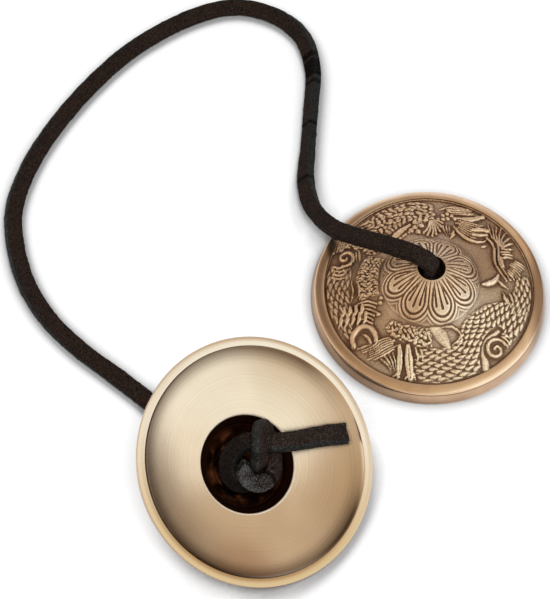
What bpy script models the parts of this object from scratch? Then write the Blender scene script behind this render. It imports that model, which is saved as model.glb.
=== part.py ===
"""A tingsha: two small cast bronze cymbals joined by one leather thong.

The relief cymbal lies rim down on the surface, boss up. The open cymbal lies on
its boss with the hollow side up and leans on its rim. The thong runs over the
relief cymbal's rim, round in a loop on the surface, and under the open cymbal.
A figure-eight knot in each boss stops it. Lengths are in metres, +Z is up.
"""

import math

import bmesh
import bpy
import numpy as np
from mathutils import Euler, Matrix, Vector

MM = 0.001

# One cymbal, turned from a casting: heights are measured from its rim plane
RIM_RADIUS = 35.0 * MM
CYMBAL_HEIGHT = 19.0 * MM
LIP_WIDTH = 2.5 * MM
LIP_EDGE = 0.25 * MM
WALL_HEIGHT = 4.5 * MM
WALL_FLARE = 1.0 * MM
WALL_ROUNDING = 0.6 * MM
RING_WIDTH = 2.9 * MM
RING_RISE = 0.9 * MM
RING_STEP = 0.3 * MM
HOLE_RADIUS = 3.5 * MM
HOLE_CHAMFER = 0.6 * MM
RECESS_RADIUS = 13.95 * MM
RECESS_DEPTH = 7.55 * MM
RECESS_TOP_RADIUS = 7.6 * MM
RECESS_WALL_BULGE = math.radians(14)
BOWL_BULGE = math.radians(18)
BOSS_WALL = 3.0 * MM
FOOT_WALL = 2.1 * MM
PLATE_WALL = 2.3 * MM
FOOT_FILLET = 2.0 * MM
FOOT_RISE = 1.4 * MM
DOME_BULGE = math.radians(24)
FILLET_BULGE = math.radians(26)
SEGMENTS_PER_PETAL = 8

# The lotus rosette on the dome: teardrop petals, with the dome sunk between and round them
PETALS = 8
PETAL_CENTRE = 10.15 * MM
PETAL_RADIUS = 3.85 * MM
PETAL_DEPTH = 0.4 * MM
PETAL_EDGE = 0.8 * MM
FIRST_PETAL = math.radians(15)
ROSETTE_START = 6.0 * MM
ROSETTE_BLEND = 3.0 * MM
ROSETTE_END = 14.6 * MM

# The leather thong: a flat lace, drawn round where it is knotted
THONG_WIDTH = 5.0 * MM
THONG_THICKNESS = 3.0 * MM
KNOT_THONG_DIAMETER = 3.2 * MM
MEETING_GAP = 0.3 * MM
LYING_GAP = 0.1 * MM
ROUTE_STEP = 5.0 * MM
KNOT_STEP = 2.2 * MM

# Where the two cymbals lie
RELIEF_CENTRE = (24.82 * MM, 29.02 * MM)
OPEN_MOUTH = (-33.58 * MM, -25.53 * MM)
OPEN_LEAN_HEADING = math.radians(-34.5)

# The thong's route, chosen by hand in millimetres, with how far the lace is rolled there
# in degrees: at 0 it lies flat, and a positive roll turns its upper face to the left.
# The first stretch is counted from the mouth of the relief cymbal's hole.
OFF_THE_RELIEF = [
    (-0.2, 0.1, 1.5, 0), (-1.0, 0.4, 2.9, 0), (-2.8, 1.2, 3.9, 0), (-6.2, 3.1, 4.0, 0),
    (-12.6, 7.2, 1.2, 0), (-21.2, 12.6, -3.2, 0), (-27.9, 17.9, -7.2, 5), (-33.6, 27.6, -12.4, 25),
    (-35.5, 39.5, -15.8, 45),
]
# The run on the surface is counted from the origin, and the roll gives the lace's height.
ON_THE_SURFACE = [
    (-9.7, 80.8, 58), (-8.4, 95.3, 60), (-7.4, 109.1, 55), (-10.2, 121.5, 45),
    (-17.3, 129.4, 35), (-27.4, 133.7, 30), (-37.4, 133.5, 30), (-50.7, 128.2, 30),
    (-65.3, 118.2, 30), (-77.3, 105.7, 30), (-87.7, 91.5, 30), (-95.5, 76.9, 30),
    (-99.8, 62.3, 30), (-99.3, 50.1, 26), (-95.7, 36.7, 18), (-88.9, 24.4, 6), (-79.2, 13.8, -10),
    (-68.2, 4.6, -25), (-57.9, -4.3, -25),
]
# The last stretch is counted from the mouth of the open cymbal's hole.
UNDER_THE_OPEN = [(-14.1, 11.4, -8), (-8.0, 5.7, 0), (-5.0, 3.45, 0)]

# The knot's route in millimetres, in the cymbal's own frame: x and y from the hole's
# axis, and the third number is how far below the boss's top it lies. Where the open
# cymbal leans on the surface, the lace comes in from under the raised side of its boss.
STRAIGHT_STEM = [(0.0, 0.0, 0.0), (0.0, 0.0, 2.6)]
BENT_STEM = [
    (-5.1, 0.0, -2.55), (-3.55, 0.0, -1.8), (-2.15, 0.0, -1.05), (-1.05, 0.0, 0.15), (-0.15, 0.0, 2.4),
]
KNOT_ROUTE = [
    (0.0, 0.0, 5.0), (-0.1, 0.6, 7.6), (0.9, 2.3, 10.2), (3.2, 3.4, 11.2), (6.0, 2.4, 11.2),
    (7.6, -0.6, 11.2), (7.2, -4.2, 10.8), (5.4, -7.6, 9.9), (2.1, -10.1, 10.2),
    (-1.7, -11.1, 12.4), (-3.7, -9.2, 14.9), (-1.6, -5.5, 15.5), (1.3, -2.9, 13.3),
    (3.5, -1.3, 10.0), (4.7, 1.1, 7.4), (4.0, 3.7, 6.9), (1.5, 5.1, 6.9), (-1.5, 4.7, 7.2),
    (-4.1, 2.7, 8.2), (-5.2, -0.4, 9.4), (-4.5, -3.7, 10.4), (-2.4, -6.4, 11.2),
    (0.5, -7.9, 13.3), (3.0, -9.6, 15.3), (6.4, -12.8, 16.4),
]
# The tails leave the knot towards the rim, over the bowl.
OPEN_TAIL = [(9.8, -16.6, 17.0), (13.2, -20.1, 18.3), (16.4, -23.1, 19.3)]
RELIEF_TAIL = [(9.0, -15.0, 16.7), (11.0, -16.9, 16.9)]


def arc(start, end, turn, steps):
    """Points from start to end along a circular arc that turns by turn, positive to the left."""
    a, b = np.array(start), np.array(end)
    chord = b - a
    half = turn / 2
    radius = np.linalg.norm(chord) / (2 * math.sin(abs(half)))
    left = np.array([-chord[1], chord[0]]) / np.linalg.norm(chord)
    centre = (a + b) / 2 + math.copysign(radius * math.cos(half), turn) * left
    first = math.atan2(*(a - centre)[::-1])
    angles = [first + turn * k / steps for k in range(steps + 1)]
    return [tuple(centre + radius * np.array([math.cos(t), math.sin(t)])) for t in angles]


def cymbal_outline():
    """The cymbal's section as (radius, height): down the outside from the hole, and back inside."""
    rim = RIM_RADIUS
    wall_top = (rim - WALL_FLARE, WALL_HEIGHT - WALL_ROUNDING)
    ring_out = (rim - WALL_FLARE - WALL_ROUNDING, WALL_HEIGHT + 0.3 * WALL_ROUNDING)
    ring_in = (rim - WALL_FLARE - RING_WIDTH, WALL_HEIGHT + RING_RISE)
    field = (ring_in[0] - RING_STEP / 2, ring_in[1] - RING_STEP)
    foot = (RECESS_RADIUS + FOOT_WALL, RECESS_DEPTH + PLATE_WALL)
    dome_foot = (foot[0] - FOOT_FILLET, foot[1] + FOOT_RISE)
    hole_edge = (HOLE_RADIUS + HOLE_CHAMFER, CYMBAL_HEIGHT)
    ceiling = CYMBAL_HEIGHT - BOSS_WALL
    lip_in = rim - LIP_WIDTH
    outside = (
        arc(hole_edge, dome_foot, -DOME_BULGE, 11)
        + arc(dome_foot, foot, FILLET_BULGE, 3)[1:]
        + [field, ring_in]
        + arc(ring_out, wall_top, -math.radians(62), 3)
        + [(rim, 2 * LIP_EDGE), (rim - LIP_EDGE, 0.0)]
    )
    inside = (
        [(lip_in + LIP_EDGE / 2, 0.0)]
        + arc((lip_in, LIP_EDGE / 2), (RECESS_RADIUS + LIP_EDGE, RECESS_DEPTH), BOWL_BULGE, 5)
        + arc((RECESS_RADIUS, RECESS_DEPTH + LIP_EDGE), (RECESS_TOP_RADIUS, ceiling - LIP_EDGE),
              RECESS_WALL_BULGE, 4)
        + [(HOLE_RADIUS, ceiling), (HOLE_RADIUS, CYMBAL_HEIGHT - HOLE_CHAMFER)]
    )
    return outside, inside


def resting_points(outline):
    """Where the turned-over cymbal touches the surface, on its boss and its ring, and its lean."""
    boss = [point for point in outline if point[1] > 0.75 * CYMBAL_HEIGHT]
    ring = [point for point in outline if point[0] > RIM_RADIUS - WALL_FLARE - RING_WIDTH]

    def slope(high, low):
        return math.atan2(high[1] - low[1], low[0] - high[0])

    on_ring = {high: min(ring, key=lambda low: slope(high, low)) for high in boss}
    on_boss = max(boss, key=lambda high: slope(high, on_ring[high]))
    return on_boss, on_ring[on_boss], slope(on_boss, on_ring[on_boss])


def lying(x, y, roll):
    """A point of the lace's centreline where it lies on the surface, rolled by roll."""
    height = (THONG_THICKNESS + (THONG_WIDTH - THONG_THICKNESS) * abs(math.sin(roll))) / 2
    return x, y, height + LYING_GAP, roll


def smooth_route(points, step):
    """Points about step apart on a Catmull-Rom curve through the route's own points.

    A fourth number of a point, such as its roll, is carried along with its place.
    """
    knots = [Vector(p) for p in points]
    padded = [2 * knots[0] - knots[1], *knots, 2 * knots[-1] - knots[-2]]
    dense = []
    for a, b, c, d in zip(padded, padded[1:], padded[2:], padded[3:]):
        for k in range(24):
            t = k / 24
            dense.append(0.5 * (2 * b + (c - a) * t + (2 * a - 5 * b + 4 * c - d) * t**2
                                + (3 * b - a - 3 * c + d) * t**3))
    dense.append(knots[-1])
    travelled = [0.0]
    for a, b in zip(dense, dense[1:]):
        travelled.append(travelled[-1] + (b - a).to_3d().length)
    count = max(2, round(travelled[-1] / step))
    wanted = [travelled[-1] * k / count for k in range(count + 1)]
    axes = [[p[i] for p in dense] for i in range(len(knots[0]))]
    return list(zip(*(np.interp(wanted, travelled, axis) for axis in axes)))


def least_self_gap(points, diameter):
    """The smallest gap between two stretches of a round cord that aren't next to each other."""
    places = np.array(points)
    steps = np.linalg.norm(np.diff(places, axis=0), axis=1)
    along = np.concatenate([[0.0], np.cumsum(steps)])
    apart = np.linalg.norm(places[:, None] - places[None], axis=2)
    far = np.abs(along[:, None] - along[None]) > 2.2 * diameter
    return float(apart[far].min() - diameter)


def new_material(name, colour, roughness, metallic):
    material = bpy.data.materials.new(name)
    material.use_nodes = True
    shader = material.node_tree.nodes["Principled BSDF"]
    shader.inputs["Base Color"].default_value = (*colour, 1.0)
    shader.inputs["Roughness"].default_value = roughness
    shader.inputs["Metallic"].default_value = metallic
    return material


def add_object(name, data, material, parent=None):
    thing = bpy.data.objects.new(name, data)
    bpy.context.scene.collection.objects.link(thing)
    data.materials.append(material)
    thing.parent = parent
    return thing


def petal_sink(place):
    """How far the dome is sunk at a place of the cymbal's plan to leave the petals proud."""
    radius, angle = math.hypot(place.x, place.y), math.atan2(place.y, place.x)
    sector = 2 * math.pi / PETALS
    local = (angle - FIRST_PETAL + sector / 2) % sector - sector / 2
    along, across = radius * math.cos(local), abs(radius * math.sin(local))
    opening = math.asin(PETAL_RADIUS / PETAL_CENTRE)
    reach = along * math.cos(opening) + across * math.sin(opening)
    if reach < PETAL_CENTRE * math.cos(opening):
        inside = along * math.sin(opening) - across * math.cos(opening)
    else:
        inside = PETAL_RADIUS - math.hypot(along - PETAL_CENTRE, across)
    depth = PETAL_DEPTH * (1 - min(max(inside / PETAL_EDGE, 0), 1))
    return depth * min(max((radius - ROSETTE_START) / ROSETTE_BLEND, 0), 1)


def cymbal_mesh(name, outside, inside):
    """The section spun once round the cymbal's own axis, with the rosette sunk in its dome."""
    bm = bmesh.new()
    dome = bm.verts.layers.int.new("dome")
    ring = [bm.verts.new((r, 0.0, z)) for r, z in outside + inside]
    for vert, (r, _) in zip(ring, outside):
        vert[dome] = int(r < ROSETTE_END)
    edges = [bm.edges.new((a, b)) for a, b in zip(ring, ring[1:] + ring[:1])]
    bmesh.ops.spin(bm, geom=ring + edges, axis=(0, 0, 1), cent=(0, 0, 0), dvec=(0, 0, 0),
                   angle=2 * math.pi, steps=PETALS * SEGMENTS_PER_PETAL, use_merge=True,
                   use_duplicate=False)
    bmesh.ops.remove_doubles(bm, verts=bm.verts, dist=0.01 * MM)
    bmesh.ops.rotate(bm, cent=(0, 0, 0), verts=bm.verts,
                     matrix=Matrix.Rotation(FIRST_PETAL, 3, "Z"))
    for vert in bm.verts:
        if vert[dome]:
            vert.co.z -= petal_sink(vert.co)
    bm.verts.layers.int.remove(dome)
    bmesh.ops.recalc_face_normals(bm, faces=bm.faces)
    mesh = bpy.data.meshes.new(name)
    bm.to_mesh(mesh)
    bm.free()
    mesh.shade_smooth()
    mesh.set_sharp_from_angle(angle=math.radians(35))
    return mesh


def cord_curve(name, points, width, thickness, roll, resolution):
    """A closed cord along points: round, or flat where the width is more than the thickness."""
    curve = bpy.data.curves.new(name, "CURVE")
    curve.dimensions = "3D"
    curve.twist_mode = "Z_UP" if width > thickness else "MINIMUM"
    curve.extrude = (width - thickness) / 2
    curve.bevel_depth = thickness / 2
    curve.bevel_resolution = resolution
    curve.use_fill_caps = True
    spline = curve.splines.new("POLY")
    spline.points.add(len(points) - 1)
    for point, place, tilt in zip(spline.points, points, roll):
        point.co = (*place, 1.0)
        point.tilt = tilt
    return curve


def knot_points(stem, tail):
    """The knot's centreline in its cymbal's own frame, from the stem's end to the cut end."""
    route = [(x * MM, y * MM, CYMBAL_HEIGHT - down * MM)
             for x, y, down in stem + KNOT_ROUTE + tail]
    return smooth_route(route, KNOT_STEP)


def build():
    for thing in list(bpy.data.objects):
        bpy.data.objects.remove(thing, do_unlink=True)

    relief_bronze = new_material("antique_bronze", (0.50, 0.32, 0.19), 0.38, 1.0)
    turned_bronze = new_material("turned_bronze", (0.80, 0.62, 0.42), 0.30, 1.0)
    leather = new_material("dark_leather", (0.030, 0.022, 0.018), 0.75, 0.0)

    outside, inside = cymbal_outline()
    _, ring_edge, lean = resting_points(outside)

    relief_place = bpy.data.objects.new("relief_place", None)
    relief_place.location = (*RELIEF_CENTRE, 0.0)
    bpy.context.scene.collection.objects.link(relief_place)
    add_object("relief_cymbal", cymbal_mesh("relief_cymbal", outside, inside),
               relief_bronze, relief_place)

    # Turned over, leant and swung round, it rests on its boss and on its ring's outer edge
    open_turn = Euler((math.pi, lean, OPEN_LEAN_HEADING))
    edge_drop = ring_edge[0] * math.sin(lean) + ring_edge[1] * math.cos(lean)
    up = open_turn.to_matrix() @ Vector((0, 0, -1))
    rim_centre = Vector((*OPEN_MOUTH, 0.0)) + CYMBAL_HEIGHT * up
    rim_centre.z = edge_drop
    open_place = bpy.data.objects.new("open_place", None)
    open_place.location = rim_centre
    open_place.rotation_euler = open_turn
    bpy.context.scene.collection.objects.link(open_place)
    add_object("open_cymbal", cymbal_mesh("open_cymbal", outside, inside), turned_bronze,
               open_place)

    for name, stem, tail, place in (
            ("relief_knot", STRAIGHT_STEM, RELIEF_TAIL, relief_place),
            ("open_knot", BENT_STEM, OPEN_TAIL, open_place)):
        points = knot_points(stem, tail)
        gap = least_self_gap(points, KNOT_THONG_DIAMETER)
        print(f"{name}: {len(points)} points, least gap to itself {gap / MM:.2f} mm")
        knot = cord_curve(name, points, KNOT_THONG_DIAMETER, KNOT_THONG_DIAMETER,
                          [0.0] * len(points), 2)
        add_object(name, knot, leather, place)

    # The thong leaves the relief cymbal's knot at the hole's mouth, lies on the surface in
    # a loop, and meets the open cymbal's knot under the raised side of its boss
    relief_mouth = Vector((*RELIEF_CENTRE, CYMBAL_HEIGHT))
    route = [(*(relief_mouth + Vector(place) * MM), math.radians(roll))
             for *place, roll in OFF_THE_RELIEF]
    route += [lying(x * MM, y * MM, math.radians(roll)) for x, y, roll in ON_THE_SURFACE]
    route += [lying(OPEN_MOUTH[0] + x * MM, OPEN_MOUTH[1] + y * MM, math.radians(roll))
              for x, y, roll in UNDER_THE_OPEN]
    points = [(*(relief_mouth + MEETING_GAP * Vector((0, 0, 1))), 0.0)]
    points += smooth_route(route, ROUTE_STEP)
    places = [Vector(point[:3]) for point in points]
    length = sum((b - a).length for a, b in zip(places, places[1:]))
    print(f"thong: {len(points)} points, {length / MM:.1f} mm long")
    thong = cord_curve("thong", places, THONG_WIDTH, THONG_THICKNESS,
                       [math.pi / 2 + point[3] for point in points], 1)
    add_object("thong", thong, leather)
    bpy.context.view_layer.update()


build()
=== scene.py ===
# %% [markdown]
# # A tingsha in Blender
# A tingsha is a pair of small bronze cymbals on one leather thong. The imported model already
# has the pieces in their places and knows how they move. This lesson gives them their looks:
# the cast relief, the turned bowls, the cut leather and its knots.
# We start by loading that model. It stays as it is, and every piece we make rides on it.

import math

import bmesh
import bpy
import numpy as np
from mathutils import Matrix, Vector


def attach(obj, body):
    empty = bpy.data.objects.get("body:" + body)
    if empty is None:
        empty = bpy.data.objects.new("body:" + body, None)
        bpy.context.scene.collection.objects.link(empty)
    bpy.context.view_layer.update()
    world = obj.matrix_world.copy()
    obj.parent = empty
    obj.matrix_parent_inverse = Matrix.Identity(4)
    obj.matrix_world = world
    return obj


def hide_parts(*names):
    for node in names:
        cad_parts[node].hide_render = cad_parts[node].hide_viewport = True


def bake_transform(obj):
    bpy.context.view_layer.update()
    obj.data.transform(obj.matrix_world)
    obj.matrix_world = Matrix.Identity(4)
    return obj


MM = 0.001
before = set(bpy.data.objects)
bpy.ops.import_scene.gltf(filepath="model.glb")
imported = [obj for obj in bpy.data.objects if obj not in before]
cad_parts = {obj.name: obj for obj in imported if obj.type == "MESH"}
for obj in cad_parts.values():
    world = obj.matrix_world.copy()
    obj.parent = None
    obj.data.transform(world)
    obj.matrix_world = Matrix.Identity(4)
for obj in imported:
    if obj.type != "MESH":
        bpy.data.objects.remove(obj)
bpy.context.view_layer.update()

# %% [markdown]
# ## The camera
# A camera can be placed by eye, or worked out from the picture. Here it was worked out: it
# looks down at 63 degrees from 0.61 m away. The lens is given by how many pixels long its
# focal distance is, because that doesn't depend on the sensor.

# %% Place the camera
PHOTO_HEIGHT = 599
FOCAL_PIXELS = 2035
SENSOR_HEIGHT = 36.0
LOOK_AT = Vector((-20.9, 29.45, 0.0)) * MM
CAMERA_DISTANCE = 608.5 * MM
CAMERA_ELEVATION = math.radians(62.9)
CAMERA_ROLL = math.radians(-1.2)


def place_camera():
    back = Vector((0, -math.cos(CAMERA_ELEVATION), math.sin(CAMERA_ELEVATION)))
    up = Vector((0, math.sin(CAMERA_ELEVATION), math.cos(CAMERA_ELEVATION)))
    right = up.cross(back)
    across = math.cos(CAMERA_ROLL) * right + math.sin(CAMERA_ROLL) * up
    upwards = math.cos(CAMERA_ROLL) * up - math.sin(CAMERA_ROLL) * right
    camera = bpy.data.objects.new("photo_camera", bpy.data.cameras.new("photo_camera"))
    bpy.context.scene.collection.objects.link(camera)
    turn = Matrix((across, upwards, back)).transposed().to_4x4()
    camera.matrix_world = Matrix.Translation(LOOK_AT + CAMERA_DISTANCE * back) @ turn
    camera.data.sensor_fit = "VERTICAL"
    camera.data.sensor_height = SENSOR_HEIGHT
    camera.data.lens = SENSOR_HEIGHT * FOCAL_PIXELS / PHOTO_HEIGHT
    camera.data.clip_start = 10 * MM
    bpy.context.scene.camera = camera


place_camera()

# %% [markdown]
# ## The route of the thong
# The thong is one flat lace. It goes from a knot in one cymbal, out of that cymbal's hole,
# round in a loop on the table, in at the other hole and into a second knot. We write its
# centreline once and sweep the lace's section along it. A Catmull-Rom curve runs
# through every chosen point, so the route stays easy to read.

# %% The two cymbals' places, and the route between them
CYMBAL_HEIGHT = 19.0
RELIEF_CENTRE = (24.82, 29.02)
OPEN_MOUTH = (-33.58, -25.53, 1.80)
OPEN_LEAN = math.radians(26.046)
OPEN_HEADING = math.radians(-34.5)
LACE_WIDTH = 5.0
LACE_THICKNESS = 3.0

OFF_THE_RELIEF = [
    (0.0, 0.0, 0.3, 0), (-0.2, 0.1, 1.5, 0), (-1.0, 0.4, 2.9, 0), (-2.8, 1.2, 3.9, 0),
    (-6.2, 3.1, 4.0, 0), (-12.6, 7.2, 1.2, 0), (-21.2, 12.6, -3.2, 0), (-27.9, 17.9, -7.2, 5),
    (-33.6, 27.6, -12.4, 25), (-35.5, 39.5, -15.8, 45),
]
ON_THE_SURFACE = [
    (-9.7, 80.8, 58), (-8.4, 95.3, 60), (-7.4, 109.1, 55), (-10.2, 121.5, 45),
    (-17.3, 129.4, 35), (-27.4, 133.7, 30), (-37.4, 133.5, 30), (-50.7, 128.2, 30),
    (-65.3, 118.2, 30), (-77.3, 105.7, 30), (-87.7, 91.5, 30), (-95.5, 76.9, 30),
    (-99.8, 62.3, 30), (-99.3, 50.1, 26), (-95.7, 36.7, 18), (-88.9, 24.4, 6),
    (-79.2, 13.8, -10), (-68.2, 4.6, -25), (-57.9, -4.3, -25),
]
UNDER_THE_OPEN = [(-14.1, 11.4, -8), (-8.0, 5.7, 0), (-5.0, 3.45, 0)]

STRAIGHT_STEM = [(0.0, 0.0, 0.0), (0.0, 0.0, 2.6)]
BENT_STEM = [
    (-5.1, 0.0, -2.55), (-3.55, 0.0, -1.8), (-2.15, 0.0, -1.05), (-1.05, 0.0, 0.15),
    (-0.15, 0.0, 2.4),
]
KNOT_ROUTE = [
    (0.0, 0.0, 5.0), (-0.1, 0.6, 7.6), (0.9, 2.3, 10.2), (3.2, 3.4, 11.2), (6.0, 2.4, 11.2),
    (7.6, -0.6, 11.2), (7.2, -4.2, 10.8), (5.4, -7.6, 9.9), (2.1, -10.1, 10.2),
    (-1.7, -11.1, 12.4), (-3.7, -9.2, 14.9), (-1.6, -5.5, 15.5), (1.3, -2.9, 13.3),
    (3.5, -1.3, 10.0), (4.7, 1.1, 7.4), (4.0, 3.7, 6.9), (1.5, 5.1, 6.9), (-1.5, 4.7, 7.2),
    (-4.1, 2.7, 8.2), (-5.2, -0.4, 9.4), (-4.5, -3.7, 10.4), (-2.4, -6.4, 11.2),
    (0.5, -7.9, 13.3), (3.0, -9.6, 15.3), (6.4, -12.8, 16.4),
]
OPEN_TAIL = [(9.8, -16.6, 17.0), (13.2, -20.1, 18.3), (16.4, -23.1, 19.3)]
RELIEF_TAIL = [(9.0, -15.0, 16.7), (11.0, -16.9, 16.9)]


def smooth_line(points, step):
    """Points about step apart on a Catmull-Rom curve through points, as rows of an array."""
    knots = np.array(points, float)
    padded = np.vstack([2 * knots[0] - knots[1], knots, 2 * knots[-1] - knots[-2]])
    t = np.linspace(0, 1, 24, endpoint=False)[:, None]
    dense = [0.5 * (2 * b + (c - a) * t + (2 * a - 5 * b + 4 * c - d) * t**2
                    + (3 * b - a - 3 * c + d) * t**3)
             for a, b, c, d in zip(padded, padded[1:], padded[2:], padded[3:])]
    dense = np.vstack([*dense, knots[-1:]])
    steps = np.linalg.norm(np.diff(dense[:, :3], axis=0), axis=1)
    travelled = np.concatenate([[0.0], np.cumsum(steps)])
    count = max(2, round(travelled[-1] / step))
    wanted = np.linspace(0, travelled[-1], count + 1)
    return np.column_stack([np.interp(wanted, travelled, axis) for axis in dense.T])


def lying(x, y, roll):
    """A route point where the lace lies on the table, rolled by roll degrees."""
    spare = (LACE_WIDTH - LACE_THICKNESS) * abs(math.sin(math.radians(roll)))
    return x, y, (LACE_THICKNESS + spare) / 2 + 0.1, roll


def relief_place():
    """The matrix that takes the relief cymbal's own frame to its place, in millimetres."""
    return Matrix.Translation((*RELIEF_CENTRE, 0.0))


def open_place():
    """The same for the open cymbal: turned over, leant and swung round."""
    turn = (Matrix.Rotation(OPEN_HEADING, 4, "Z") @ Matrix.Rotation(OPEN_LEAN, 4, "Y")
            @ Matrix.Rotation(math.pi, 4, "X"))
    lowered = turn @ Vector((0, 0, CYMBAL_HEIGHT))
    return Matrix.Translation(Vector(OPEN_MOUTH) - lowered) @ turn


def knot_line(place, stem, tail):
    """A knot's centreline in millimetres, from its stem to its cut end."""
    own = [(x, y, CYMBAL_HEIGHT - down) for x, y, down in stem + KNOT_ROUTE + tail]
    return smooth_line([place @ Vector(point) for point in own], 0.5)


def thong_line():
    """The thong between the two holes: place in millimetres and roll in degrees."""
    mouth = (*RELIEF_CENTRE, CYMBAL_HEIGHT)
    route = [(*(a + b for a, b in zip(mouth, place)), roll) for *place, roll in OFF_THE_RELIEF]
    route += [lying(x, y, roll) for x, y, roll in ON_THE_SURFACE]
    route += [lying(OPEN_MOUTH[0] + x, OPEN_MOUTH[1] + y, roll) for x, y, roll in UNDER_THE_OPEN]
    return smooth_line(route, 0.7)


thong = thong_line()
relief_knot = knot_line(relief_place(), STRAIGHT_STEM, RELIEF_TAIL)
open_knot = knot_line(open_place(), BENT_STEM, OPEN_TAIL)
print(f"the thong's free stretch has {len(thong)} rows")

# %% [markdown]
# ## Sweeping a flat lace
# A curve object with a bevel makes a cord, but a flat lace has to know which way its face
# looks at each point. So each point of the line gets three directions: along, face and
# across. On the table the face follows the roll that we chose. In the knots it is carried
# from point to point with as little twist as possible, as leather does by itself.
# The section is extruded from ring to ring with bmesh.

# %% Directions along a lace
RELIEF_STEM_LENGTH = 4.0
LACE_CORNER = 0.55
CORNER_STEPS = 5
FLAT_STEPS = 4
FUZZ = 0.035
RAGGED = 0.5


def directions(points):
    along = np.gradient(points, axis=0)
    return along / np.linalg.norm(along, axis=1)[:, None]


def faces_from_roll(points, rolls):
    """The lace's upper face where its roll is known: level, then turned about the line."""
    along = directions(points)
    up = np.array([0.0, 0.0, 1.0])
    level = up - (along @ up)[:, None] * along
    level /= np.linalg.norm(level, axis=1)[:, None]
    side = np.cross(along, level)
    angle = np.radians(rolls)[:, None]
    return np.cos(angle) * level - np.sin(angle) * side


def faces_carried(points, first, twist):
    """The face carried along from its first direction, and twisted by twist in all."""
    along = directions(points)
    faces = [np.array(first) - np.dot(first, along[0]) * along[0]]
    for before, now in zip(along, along[1:]):
        turn = Vector(before).rotation_difference(Vector(now))
        faces.append(np.array(turn @ Vector(faces[-1])))
    faces = np.array(faces)
    faces -= np.sum(faces * along, axis=1)[:, None] * along
    faces /= np.linalg.norm(faces, axis=1)[:, None]
    angle = np.linspace(0, twist, len(points))[:, None]
    return np.cos(angle) * faces + np.sin(angle) * np.cross(along, faces)


def lace_section():
    """The lace's section as (across, through): a flat oblong with rounded corners."""
    half_width, half_depth = LACE_WIDTH / 2 - LACE_CORNER, LACE_THICKNESS / 2 - LACE_CORNER
    corners = ((half_width, half_depth), (-half_width, half_depth),
               (-half_width, -half_depth), (half_width, -half_depth))
    section = []
    for quarter, (x, y) in enumerate(corners):
        for k in range(CORNER_STEPS):
            angle = math.pi / 2 * (quarter + k / (CORNER_STEPS - 1))
            section.append((x + LACE_CORNER * math.cos(angle), y + LACE_CORNER * math.sin(angle)))
        ahead = corners[(quarter + 1) % 4]
        for share in np.arange(1, FLAT_STEPS) / FLAT_STEPS:
            section.append((x + (ahead[0] - x) * share + LACE_CORNER * math.cos(angle),
                            y + (ahead[1] - y) * share + LACE_CORNER * math.sin(angle)))
    return np.array(section)


def uneven(where, seed):
    """A slow wandering number about zero, for the unevenness of cut leather."""
    rng = np.random.default_rng(seed)
    waves = rng.uniform(0.1, 0.9, 7), rng.uniform(0, 2 * math.pi, 7), rng.uniform(0.3, 1, 7)
    return sum(size * np.sin(rate * where + start) for rate, start, size in zip(*waves)) / 4


def sweep_lace(name, points, faces, scale=(1.0, 1.0), start=0.0, flare=0.0, seed=1):
    """A closed lace in millimetres along points, with its own place and its bend kept."""
    along = directions(points)
    across = np.cross(along, faces)
    steps = np.linalg.norm(np.diff(points, axis=0), axis=1)
    travelled = start + np.concatenate([[0.0], np.cumsum(steps)])
    widths = scale[0] * (1 + 0.035 * uneven(travelled, seed))
    depths = scale[1] * (1 + 0.04 * uneven(travelled, seed + 1))
    widths *= 1 + flare * np.linspace(0, 1, len(points)) ** 3
    curving = np.gradient(along, travelled, axis=0)
    rng = np.random.default_rng(seed)
    section = lace_section()
    bm = bmesh.new()
    own = bm.verts.layers.float_vector.new("lace_place")
    bend = bm.verts.layers.float.new("bend")
    ring = [bm.verts.new((u, v, 0)) for u, v in section]
    cap = bm.faces.new(ring)

    def put(verts, row):
        offsets = (np.outer(section[:, 0] * widths[row], across[row])
                   + np.outer(section[:, 1] * depths[row], faces[row]))
        stretched = -offsets @ curving[row]
        offsets *= 1 + rng.normal(0, FUZZ, (len(section), 1)) / 1.5
        if flare and row == len(points) - 1:
            offsets += np.outer(rng.uniform(-RAGGED, RAGGED, len(section)), along[row])
        for k, vert in enumerate(verts):
            vert.co = points[row] + offsets[k]
            vert[own] = (*section[k], travelled[row])
            vert[bend] = stretched[k]

    put(ring, 0)
    for row in range(1, len(points)):
        made = bmesh.ops.extrude_face_region(bm, geom=[cap])["geom"]
        cap = next(item for item in made if isinstance(item, bmesh.types.BMFace))
        fresh = {item for item in made if isinstance(item, bmesh.types.BMVert)}
        following = []
        for vert in ring:
            edge = next(e for e in vert.link_edges if e.other_vert(vert) in fresh)
            following.append(edge.other_vert(vert))
        ring = following
        put(ring, row)
    bmesh.ops.recalc_face_normals(bm, faces=bm.faces)
    return finish_mesh(name, bm)


def finish_mesh(name, bm, place=Matrix.Identity(4)):
    """Takes a bmesh in millimetres to its place in metres and makes an object of it."""
    bmesh.ops.transform(bm, matrix=Matrix.Scale(MM, 4) @ place, verts=bm.verts)
    mesh = bpy.data.meshes.new(name)
    bm.to_mesh(mesh)
    bm.free()
    mesh.shade_smooth()
    thing = bpy.data.objects.new(name, mesh)
    bpy.context.scene.collection.objects.link(thing)
    print(f"{name}: {len(mesh.polygons)} faces")
    return thing


# %% [markdown]
# ## The thong in three stretches
# The thong bends where it goes into each cymbal. A piece can bend between two bodies, but
# only across one joint, so it is cut there in three: a short stretch at each hole and the
# long one between them. The cuts meet face to face.

# %% Make the thong
END_STRETCHES = (7.0, 20.0)
KNOT_SCALE = (0.90, 0.92)


def length_of(line):
    return np.linalg.norm(np.diff(line[:, :3], axis=0), axis=1).sum()


def cut_rows(line, distance):
    """How many rows of a line lie within distance of its start."""
    steps = np.linalg.norm(np.diff(line[:, :3], axis=0), axis=1)
    return int(np.searchsorted(np.cumsum(steps), distance)) + 1


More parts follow.
